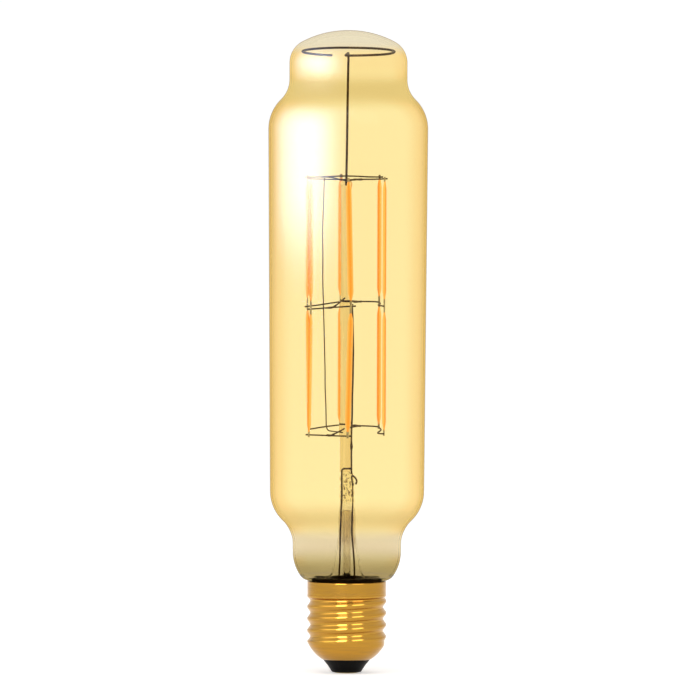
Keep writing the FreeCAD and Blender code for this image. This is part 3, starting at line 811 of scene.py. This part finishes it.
def exhaust_tube(material):
    bore = exhaust_radius - exhaust_wall
    profile = [
        point(0, exhaust_tip_z),
        point(0.35, exhaust_tip_z + 0.15),
        point(bore, exhaust_tip_z + 0.9),
        point(exhaust_radius, exhaust_tip_z + 2.6),
        point(exhaust_radius, pinch_bottom_z - 0.1),
        point(bore, pinch_bottom_z - 0.1),
        point(bore, exhaust_tip_z + 2.8),
        point(0, exhaust_tip_z + 1.4),
    ]
    return turned("exhaust_tube_drawn", profile, material, "stem_glass", "exhaust_tube", 32)


def centre_rod(material):
    """Glass rod, swollen where wires are melted in, with a melted knob at its top."""
    swells = ((79.8, 0.22, 1.6), (82.0, 0.12, 1.2), (122.6, 0.16, 1.3), (118.5, 0.08, 2.0), (163.0, 0.2, 1.5))
    rings = [[Vector((rod_x, 0, pinch_top_z + 0.06))]]
    rows = 260
    for row in range(rows + 1):
        height = pinch_top_z + 0.06 + (rod_top_z - pinch_top_z - 0.06) * row / rows
        reach = rod_radius * (1 + 0.035 * noise.noise(Vector((0, 0, height * 0.35))))
        for place, gain, spread in swells:
            reach += rod_radius * gain * math.exp(-(((height - place) / spread) ** 2))
        reach *= math.sqrt(max(0.12, min(1.0, (rod_top_z + 0.1 - height) / 1.4)))
        centre = Vector((rod_x + 0.12 * noise.noise(Vector((3, 0, height * 0.08))), 0, height))
        ring = []
        for side in range(32):
            turn = 2 * math.pi * side / 32
            lobe = 1 + 0.05 * noise.noise(Vector((math.cos(turn), math.sin(turn), height * 0.4)))
            ring.append(centre + Vector((math.cos(turn), math.sin(turn), 0)) * reach * lobe)
        rings.append(ring)
    rings.append([Vector((rod_x, 0, rod_top_z))])
    body = bmesh.new()
    skin(body, rings)
    return piece("centre_rod_drawn", body, material, "stem_glass", "centre_rod")


def column_turn(name):
    """Direction of a filament column round the rod, in degrees."""
    step = 360 / len(column_names)
    return -90 + cage_turn + step * column_names.index(name)


def around_rod(turn, radius, height=0.0):
    angle = math.radians(turn)
    return Vector((rod_x + radius * math.cos(angle), radius * math.sin(angle), height))


def on_level(place, level):
    """The place lifted or lowered onto a level of bars."""
    return Vector((place.x, place.y, level_height[level] + level_rise[level] * place.y))


def turn_at(name, level):
    """Direction of a column where it meets a level."""
    return column_turn(name) + column_sway[level].get(name, 0)


def at_column(name, level, radius):
    """Point of a level at a column, at a distance from the rod."""
    place = on_level(around_rod(turn_at(name, level), radius), level)
    return place + Vector((0, 0, column_lift[level].get(name, 0)))


half_step = math.radians(180 / len(column_names))
tab_inner_radius = cage_radius - tab_thickness / 2
bar_reach = bar_wire / 2 + weld_gap
corner_radius = tab_inner_radius - bar_reach + bar_bend * (1 / math.cos(half_step) - 1)
tier_levels = {"upper": ("middle", "top"), "lower": ("bottom", "middle")}


def end_radius(name, neighbour, level):
    """Distance from the rod of a bar's end column, so that the bar just clears its tab."""
    apart = abs(turn_at(name, level) - turn_at(neighbour, level))
    half = math.radians(min(apart, 360 - apart)) / 2
    return tab_inner_radius - (bar_reach + tab_width / 2 * math.sin(half)) / math.cos(half)


def filament_ends(tier, name):
    """Lower and upper level points of a filament's axis, on its own column."""
    return [at_column(name, level, cage_radius) for level in tier_levels[tier]]


def filament_foot(tier, name):
    """Lower end of a filament and the direction of its axis."""
    low, high = filament_ends(tier, name)
    axis = (high - low).normalized()
    return (low + high) / 2 + axis * (filament_shift[tier] - filament_length / 2), axis


def strip_frame(turn, axis):
    """Outward and sideways directions across a strip that faces a direction in degrees."""
    turn = math.radians(turn)
    outward = Vector((math.cos(turn), math.sin(turn), 0))
    outward = (outward - axis * outward.dot(axis)).normalized()
    return outward, axis.cross(outward)


def filament(tier, name, material):
    """Coated strip of oval section, drawn out to a soft point at both ends."""
    base, axis = filament_foot(tier, name)
    turn = sum(turn_at(name, level) for level in tier_levels[tier]) / 2
    outward, sideways = strip_frame(turn, axis)
    body = bmesh.new()
    edge = body.verts.layers.float.new("edge")
    sides = 20
    rows = 80
    rings = [[base]]
    for row in range(rows + 1):
        along = filament_length * row / rows
        from_end = min(along, filament_length - along)
        taper = end_thinness + (1 - end_thinness) * eased(from_end, -0.4, end_taper)
        plump = 1 + 0.03 * noise.noise(Vector((base.x, base.y, along * 0.5)))
        ring = []
        for side in range(sides):
            turn = 2 * math.pi * side / sides
            out = outward * (math.cos(turn) * filament_thickness / 2)
            wide = sideways * (math.sin(turn) * filament_width / 2)
            ring.append(base + axis * along + (out + wide) * min(1.0, taper * plump))
        rings.append(ring)
    rings.append([base + axis * filament_length])
    made = skin(body, rings)
    for ring in made:
        for side, corner in enumerate(ring):
            corner[edge] = abs(math.sin(2 * math.pi * side / sides)) ** 1.3
    node = "filament_" + tier + "_" + name
    return piece(node + "_coated", body, material, "filament_coat", node)


def filament_tabs(tier, material):
    """Metal strips at both ends of each filament, held by their tips to the bars."""
    body = bmesh.new()
    low_level, high_level = tier_levels[tier]
    for name in column_names:
        low, high = filament_ends(tier, name)
        foot, axis = filament_foot(tier, name)
        head = foot + axis * (filament_length - tab_root)
        start = low - axis * (tab_overrun if tier == "lower" else -weld_gap)
        end = high + axis * (tab_overrun if tier == "upper" else -weld_gap)
        for base, top, level in ((start, foot + axis * tab_root, low_level), (head, end, high_level)):
            outward, sideways = strip_frame(turn_at(name, level), axis)
            rings = []
            for share in (0.0, 0.04, 0.2, 0.4, 0.6, 0.8, 0.96, 1.0):
                trim = 0.72 if share in (0.0, 1.0) else 1.0
                place = base.lerp(top, share)
                half = sideways * (tab_width / 2 * trim)
                thick = outward * (tab_thickness / 2 * trim)
                left, right = place - half, place + half
                rings.append([left - thick, right - thick, right + thick, left + thick])
            skin(body, [[middle_of(rings[0])]] + rings + [[middle_of(rings[-1])]])
    made = piece("filament_tabs_" + tier + "_cut", body, material, "tab_metal", "filament_tabs_" + tier)
    made.data.shade_flat()
    return made


def bar_points(names, level):
    """Corners of a bar that passes inside the tabs, from its first column to its last."""
    places = [at_column(name, level, corner_radius) for name in names]
    places[0] = at_column(names[0], level, end_radius(names[0], names[1], level))
    places[-1] = at_column(names[-1], level, end_radius(names[-1], names[-2], level))
    return places


front_names = ["front", "front_left"]
top_front_names = ["front_left", "front", "front_right"]
rear_names = ["rear_left", "rear", "rear_right", "front_right"]
top_rear_names = ["rear_left", "rear", "rear_right"]


def wire_piece(name, routes, radius, material, node, swells=(), slot="wire_metal", wave=0.18):
    body = bmesh.new()
    for route in routes:
        tube(body, uneven(spaced(route, 0.5), wave), radius, 12, swells)
    return piece(name, body, material, slot, node)


def bar(node, names, level, material, first_tip=tip_length, last_tip=tip_length, kinks=()):
    """Current bar of a level, with small beads at its cut ends."""
    points = bar_points(names, level)
    kinked = []
    for turn, radius, lift in kinks:
        kinked.append(on_level(around_rod(turn, radius), level) + Vector((0, 0, lift)))
    points[-1:-1] = kinked
    points[0] = points[0] + (points[0] - points[1]).normalized() * first_tip
    points[-1] = points[-1] + (points[-1] - points[-2]).normalized() * last_tip
    route = rounded(points, 1.8)
    beads = ((0.0, 0.15, 0.6), (1.0, 0.15, 0.6))
    return wire_piece(node + "_bent", [route], bar_wire / 2, material, node, beads)


def anchor(node, start_name, end_name, names, level, climb, shares, material):
    """Short wire welded along the inside of a bar and melted into the rod."""
    places = dict(zip(names, bar_points(names, level)))
    chord = places[end_name] - places[start_name]
    run = (bar_wire + anchor_wire) / 2 + weld_gap - 0.06
    rod_axis = Vector((rod_x, 0, 0))
    inward = Vector((-chord.y, chord.x, 0)).normalized()
    if inward.dot(rod_axis - places[start_name] - chord / 2) < 0:
        inward = -inward
    begin = places[start_name] + chord * shares[0] + inward * run
    leave = places[start_name] + chord * shares[1] + inward * run
    entry = on_level(rod_axis, level) + Vector((0, 0, climb))
    outward = Vector((leave.x - entry.x, leave.y - entry.y, 0)).normalized()
    bite = entry + outward * (rod_radius - 0.8)
    route = rounded([begin, leave, bite], 1.8)
    welds = ((0.06, 0.6, 0.9), (0.24, 0.5, 1.0))
    return wire_piece(node + "_bent", [route], anchor_wire / 2, material, node, welds)


def beside_front_bar(x, gap, level):
    """Place inside the straight front bar of a level at a given x, its centre line gap away."""
    start, end = bar_points(front_names, level)
    chord = end - start
    along = start + chord * ((x - start.x) / chord.x)
    return along + Vector((0, gap * math.hypot(chord.x, chord.y) / abs(chord.x), 0))


front_of_rod = -(rod_radius + lead_wire / 2 + 0.1)
lead_board_y = board_y - board_thickness / 2 - lead_wire / 2
board_top_z = board_foot_z + board_height


def lead_start(side):
    x = side * lead_foot_x
    return [
        Vector((x, lead_board_y, board_top_z - 3)),
        Vector((x, lead_board_y, board_top_z + 2)),
        Vector((x, 0, neck_end_z + lead_entry_rise)),
    ]


def lead_wires(material):
    top = pinch_top_z + 1.1
    left = lead_start(-1) + [
        Vector((-2.1, 0, flare_tube_z)),
        Vector((-pinch_lead_x, 0, pinch_bottom_z + 4)),
        Vector((-pinch_lead_x, 0, pinch_top_z - 5)),
        Vector((-pinch_lead_x, front_of_rod, pinch_top_z - 1)),
        Vector((-pinch_lead_x, front_of_rod, top)),
        Vector((feed_x, front_of_rod, top + 0.1)),
    ]
    bead = ((1.0, 0.3, 0.6),)
    wire_piece("lead_wire_left_bent", [rounded(left, 1.6)], lead_wire / 2, material, "lead_wire_left", bead)
    right = lead_start(1) + [
        Vector((1.7, 0, flare_tube_z)),
        Vector((pinch_lead_x, 0, pinch_bottom_z + 4)),
        Vector((pinch_lead_x, 0, pinch_top_z - 5)),
        Vector((1.5, front_of_rod, pinch_top_z - 1)),
        Vector((2.5, front_of_rod, pinch_top_z - 1.5)),
        Vector((3.3, front_of_rod, pinch_top_z - 2.8)),
        Vector((2.9, front_of_rod, pinch_top_z - 4.0)),
    ]
    thin = ((0.79, -0.55, 4.0),)
    route = rounded(right, 1.6)
    wire_piece("lead_wire_right_bent", [route], lead_wire / 2, material, "lead_wire_right", thin)


def feed_wire(material):
    """Wire from the left lead's end, up behind the lower front filament, heavily welded at its foot bar."""
    gap = (bar_wire + lead_wire) / 2 + weld_gap
    bottom = beside_front_bar(feed_x, gap, "bottom")
    middle = beside_front_bar(feed_x, gap, "middle")
    bowed = bottom.lerp(middle, feed_bow_share) + Vector((feed_bow, 0, 0))
    foot_y = front_of_rod - lead_wire - weld_gap
    route = [
        Vector((feed_x, foot_y, pinch_top_z - 0.6)),
        Vector((feed_x, foot_y, pinch_top_z + 2.2)),
        bottom - Vector((0, 0, 2.6)),
        bottom + Vector((0, 0, 2.6)),
        bowed,
        middle + Vector((0, 0, tab_overrun)),
    ]
    swells = ((0.0, 0.2, 0.8), (0.225, 0.6, 1.3), (1.0, 0.4, 0.8))
    wire_piece("feed_wire_bent", [rounded(route, 5.0)], lead_wire / 2, material, "feed_wire", swells)


def riser_wire_piece(material):
    """Thin wire from the rod's foot level up to the top front bar, slightly bowed."""
    gap = (bar_wire + riser_wire) / 2 + weld_gap
    top = beside_front_bar(riser_x, gap, "top")
    foot = beside_front_bar(riser_foot_x, gap, "bottom")
    corner = foot + Vector((0, 0, 1.6))
    bite = around_rod(200.0, rod_radius - 0.8, level_height["bottom"] - 0.7)
    bow = top.lerp(corner, 0.25) + Vector((-0.85, 0, 0))
    route = [top + Vector((0, 0, tab_overrun)), bow, corner, bite]
    wire_piece("riser_wire_bent", [rounded(route, 2.2)], riser_wire / 2, material, "riser_wire")


def dome_ring_wire(material):
    """Open ring in the dome, with a spoke to the middle and a post down to the rod."""
    def on_ring(turn):
        angle = math.radians(turn)
        across = ring_radius * math.sin(angle)
        return Vector((ring_radius * math.cos(angle), across, ring_z + ring_rise * across))
    steps = 120
    sweep = ring_end_turn - ring_start_turn
    ring = [on_ring(ring_start_turn + sweep * step / steps) for step in range(steps + 1)]
    onward = (ring[-1] - ring[-2]).normalized()
    tail = rounded([
        ring[-1],
        ring[-1] + onward * 3.2,
        Vector((0, 0, ring_z - ring_wire / 2)),
        Vector((rod_x, 0, rod_top_z - 2.0)),
    ], 2.4)
    body = bmesh.new()
    tube(body, uneven(ring + spaced(tail, 0.8)[1:], 0.12, 14.0), ring_wire / 2, 12)
    return piece("dome_ring_wire_bent", body, material, "wire_metal", "dome_ring_wire")


def cage_wires(material):
    """Bars of the three levels and the anchors that hold them to the rod."""
    bar("top_bar_front", top_front_names, "top", material)
    bar("top_bar_rear", top_rear_names, "top", material)
    bar("middle_bar_front", front_names, "middle", material)
    bar("middle_bar_rear", rear_names, "middle", material, tip_length, kinked_tip, rear_kinks["middle"])
    bar("bottom_bar_front", front_names, "bottom", material, bottom_tip)
    bar("bottom_bar_rear", rear_names, "bottom", material, bottom_rear_tip, kinked_tip, rear_kinks["bottom"])
    rear = (0.35, 0.58)
    anchor("top_anchor_front", "front_right", "front", top_front_names, "top", -1.0, (0.57, 0.79), material)
    anchor("top_anchor_rear", "rear_left", "rear", top_rear_names, "top", -1.0, rear, material)
    anchor("middle_anchor_front", "front_left", "front", front_names, "middle", 2.2, (0.38, 0.53), material)
    anchor("middle_anchor_rear", "rear", "rear_right", rear_names, "middle", 1.2, rear, material)
    anchor("bottom_anchor_front", "front_left", "front", front_names, "bottom", 0.6, (0.42, 0.54), material)
    anchor("bottom_anchor_rear", "rear", "rear_right", rear_names, "bottom", 0.9, rear, material)


def carried_over(finishes):
    """Nodes whose solids stay, each with its finish."""
    for node, material in finishes.items():
        mesh = frame["nodes"][node].data
        mesh.materials.clear()
        mesh.materials.append(material)


def build_bulb():
    glass = amber_glass()
    coat = filament_coat()
    tabs = metal("tab_metal", (0.42, 0.36, 0.26), (0.25, 0.2, 0.13), 0.35)
    wires = dark_wire()
    brass = cap_brass()
    glass_envelope(glass)
    stem_flare(flare_glass())
    exhaust_tube(exhaust_glass())
    centre_rod(rod_glass())
    for tier in ("upper", "lower"):
        for name in column_names:
            filament(tier, name, coat)
        filament_tabs(tier, tabs)
    cage_wires(wires)
    lead_wires(wires)
    feed_wire(wires)
    riser_wire_piece(wires)
    dome_ring_wire(wires)
    screw_shell(brass)
    black = moulded("insulator_black", (0.002, 0.0018, 0.0015), (0.004, 0.0035, 0.003), 0.35, specular=0.06)
    insulator(black)
    cap_cement(moulded("cement", (0.012, 0.008, 0.006), (0.02, 0.014, 0.009), 0.8, 1500.0, 0.4, 0.1))
    chip = moulded("chip_body", (0.02, 0.02, 0.02), (0.03, 0.03, 0.03), 0.55)
    copper = metal("copper_wire", (0.72, 0.42, 0.24), (0.5, 0.27, 0.14), 0.3)
    carried_over({
        "centre_contact": metal("contact_metal", (0.72, 0.6, 0.36), (0.55, 0.44, 0.24), 0.3),
        "contact_solder": metal("solder", (0.7, 0.7, 0.7), (0.5, 0.5, 0.5), 0.25),
        "driver_board": moulded("board", (0.6, 0.5, 0.26), (0.66, 0.57, 0.33), 0.6),
        "smoothing_capacitor": moulded("capacitor_sleeve", (0.02, 0.022, 0.035), (0.03, 0.033, 0.05), 0.25),
        "choke": moulded("choke_body", (0.03, 0.025, 0.02), (0.3, 0.1, 0.04), 0.5, 2500.0),
        "bridge_rectifier": chip,
        "driver_chip": chip,
        "fuse_resistor": moulded("resistor_body", (0.3, 0.45, 0.3), (0.35, 0.5, 0.36), 0.35),
        "contact_wire": copper,
        "shell_wire": copper,
    })


# camera: the photograph's place, width of view and slight roll
camera_distance = 8000.0
camera_elevation = 3.2
camera_roll = 0.196
aim = Vector((0.82, 0.0, 106.9))
view_width = 231.3
sensor_width = 36.0


def camera():
    lift = math.radians(camera_elevation)
    roll = math.radians(camera_roll)
    back = Vector((0, -math.cos(lift), math.sin(lift)))
    right = Vector((1, 0, 0))
    up = back.cross(right)
    turned_right = right * math.cos(roll) + up * math.sin(roll)
    turned_up = up * math.cos(roll) - right * math.sin(roll)
    data = bpy.data.cameras.new("camera")
    data.sensor_width = sensor_width
    data.lens = sensor_width * camera_distance / view_width
    data.clip_end = 40
    made = linked("camera", data)
    facing = Matrix((turned_right, turned_up, back)).transposed().to_4x4()
    made.matrix_world = Matrix.Translation((aim + back * camera_distance) * MM) @ facing
    bpy.context.scene.camera = made


def seen_rays(make):
    """Share that is 1 for rays from the camera, from gloss and through glass."""
    seen = make.node("ShaderNodeLightPath", output=0)
    seen = seen.largest(make.node("ShaderNodeLightPath", output=3))
    return seen.largest(make.node("ShaderNodeLightPath", output=6))


def world():
    """White surround where it is seen, and a plain soft level of light."""
    made = bpy.data.worlds.new("studio")
    bpy.context.scene.world = made
    make = Finish(made)
    level = seen_rays(make) * 0.3 + 0.7
    light = make.node("ShaderNodeBackground", values={"Color": (1, 1, 1, 1), "Strength": level})
    make.node_out("ShaderNodeOutputWorld", light)


# lamps: azimuth from the front and elevation in degrees, width and height in metres, power in watts
lamp_distance = 0.9
lamp_aim_z = 0.1
soft_boxes = {
    "soft_box_left": (-15.5, 46, 0.5, 0.8, 1.5),
    "soft_box_right": (29.5, 46, 0.5, 0.7, 1.0),
}
cap_lamps = {
    "glint_left": (-15.5, 9.0, 0.4, 0.1, 0.9),
    "glint_right": (30.5, 9.0, 0.48, 0.1, 0.5),
    "glint_far": (-55, 9.0, 0.8, 0.1, 0.3),
}


def lamp(name, azimuth, elevation, width, height, power):
    """Soft box at an azimuth from the camera's side, 0 at the front and positive to the right."""
    away = towards(azimuth, elevation)
    data = bpy.data.lights.new(name, "AREA")
    data.shape = "RECTANGLE"
    data.size = width
    data.size_y = height
    data.energy = power
    made = linked(name, data)
    made.location = away * lamp_distance + Vector((0, 0, lamp_aim_z))
    made.rotation_mode = "QUATERNION"
    made.rotation_quaternion = away.to_track_quat("Z", "Y")
    return made


def floor():
    """Pale floor that keeps the bulb's shadow."""
    make = finish("floor")
    paper = make.noise(30.0)
    shade = make.blend(paper, (0.84, 0.84, 0.84), (0.86, 0.86, 0.86))
    made_of = make.principled(
        Base_Color=shade, Roughness=0.9, Emission_Color=(1, 1, 1), Emission_Strength=0.4)
    body = bmesh.new()
    corners = [body.verts.new((x, y, 0)) for x, y in ((-4, -4), (4, -4), (4, 8), (-4, 8))]
    body.faces.new(corners)
    made = made_solid("floor", body, make.close(made_of))


# soft glow card at the left: part of a ball round the bulb, azimuths from the front and heights in degrees
glow_radius = 300.0
glow_centre_z = 160.0
glow_card_left = -146.0
glow_card_right = 3.0
glow_card_foot = -10.0
glow_card_top = 89.0
glow_strength = 38.0
glow_left_fade = (-138.0, -50.0)
glow_right_fade = (-58.0, 2.0)
glow_foot_fade = (-8.5, -2.0)
glow_top_fade = (8.0, 80.0)


def curved_card(name, columns, rows, place, material):
    """Stage sheet from a grid of places, seen only in glossy surfaces."""
    material.cycles.emission_sampling = "NONE"
    body = bmesh.new()
    grid = []
    for row in range(rows + 1):
        places = [place(column / columns, row / rows) for column in range(columns + 1)]
        grid.append([body.verts.new(spot * MM) for spot in places])
    for lower, upper in zip(grid, grid[1:]):
        for column in range(columns):
            body.faces.new((lower[column], lower[column + 1], upper[column + 1], upper[column]))
    made = made_solid(name, body, material)
    made.visible_camera = False
    made.visible_diffuse = False
    made.visible_transmission = False
    made.visible_shadow = False


def towards(azimuth, elevation):
    """Direction at an azimuth from the front, positive to the right, and an elevation in degrees."""
    turn = math.radians(azimuth)
    lift = math.radians(elevation)
    return Vector((math.sin(turn) * math.cos(lift), -math.cos(turn) * math.cos(lift), math.sin(lift)))


def glow_card():
    """Large soft light at the left that only shows as a reflection in the glass."""
    make = finish("glow_card")
    rise = (make.part("Z") - glow_centre_z) / glow_radius
    azimuth = make.azimuth()
    elevation = make.node("ShaderNodeMath", {"operation": "ARCSINE"}, {0: rise}) * (180 / math.pi)
    sides = make.between(azimuth, *glow_left_fade) * (1 - make.between(azimuth, *glow_right_fade))
    heights = make.between(elevation, *glow_foot_fade) * (1 - make.between(elevation, *glow_top_fade))
    share = sides * heights
    shade = make.blend(share, (0.42, 0.6, 1.0), (1.0, 1.0, 1.0))
    light = make.node("ShaderNodeEmission", values={"Color": shade, "Strength": share * glow_strength + 1.0})

    def place(across, up):
        turn = glow_card_left + (glow_card_right - glow_card_left) * across
        lift = glow_card_foot + (glow_card_top - glow_card_foot) * up
        return Vector((0, 0, glow_centre_z)) + towards(turn, lift) * glow_radius
    curved_card("glow_card", 48, 32, place, make.close(light))


# white ledge round the neck: what the thread's upper flanks mirror, brighter in two strips
ledge_z = 46.0
ledge_back_z = 46.4
ledge_end = 140.0
ledge_inner = 18.6
ledge_outer = 92.0
strip_reach = (30.0, 46.0)
strip_left = (-29.0, -2.0)
strip_left_gain = (1.1, 10.0)
strip_right = (15.0, 47.0)
strip_right_gain = (0.25, 3.5)
strip_far = (-75.0, -20.0)
strip_far_gain = (0.0, 1.6)
strip_soft = 3.0
strip_far_soft = 25.0


def ledge():
    make = finish("ledge")
    x = make.part("X")
    y = make.part("Y")
    azimuth = make.azimuth()
    reach = (x * x + y * y) ** 0.5
    outward = make.between(reach, *strip_reach)
    strength = 1.0
    strips = (
        (strip_left, strip_left_gain, strip_soft),
        (strip_right, strip_right_gain, strip_soft),
        (strip_far, strip_far_gain, strip_far_soft),
    )
    for (low, high), (near_gain, far_gain), soft in strips:
        inside = make.between(azimuth, low - soft, low + soft)
        inside = inside * (1 - make.between(azimuth, high - strip_soft, high + strip_soft))
        strength = inside * (outward * (far_gain - near_gain) + near_gain) + strength
    light = make.node("ShaderNodeEmission", values={"Color": (1, 1, 1, 1), "Strength": strength})
    plain = finish("ledge_back")
    white = plain.node("ShaderNodeEmission", values={"Color": (1, 1, 1, 1), "Strength": 1.0})
    sheets = ((ledge_z, "ledge", make.close(light)), (ledge_back_z, "ledge_back", plain.close(white)))
    for height, name, material in sheets:
        def place(across, up):
            reach = ledge_inner + (ledge_outer - ledge_inner) * up
            return towards(ledge_end * (2 * across - 1), 0) * reach + Vector((0, 0, height))
        curved_card(name, 56, 4, place, material)


bpy.context.scene.view_settings.view_transform = "Standard"
build_bulb()
camera()
world()
floor()
glow_card()
ledge()
for name, values in soft_boxes.items():
    lamp(name, *values)
on_cap_only = bpy.data.collections.new("on_cap_only")
on_cap_only.objects.link(bpy.data.objects["screw_shell_rolled"])
for name, values in cap_lamps.items():
    lamp(name, *values).light_linking.receiver_collection = on_cap_only
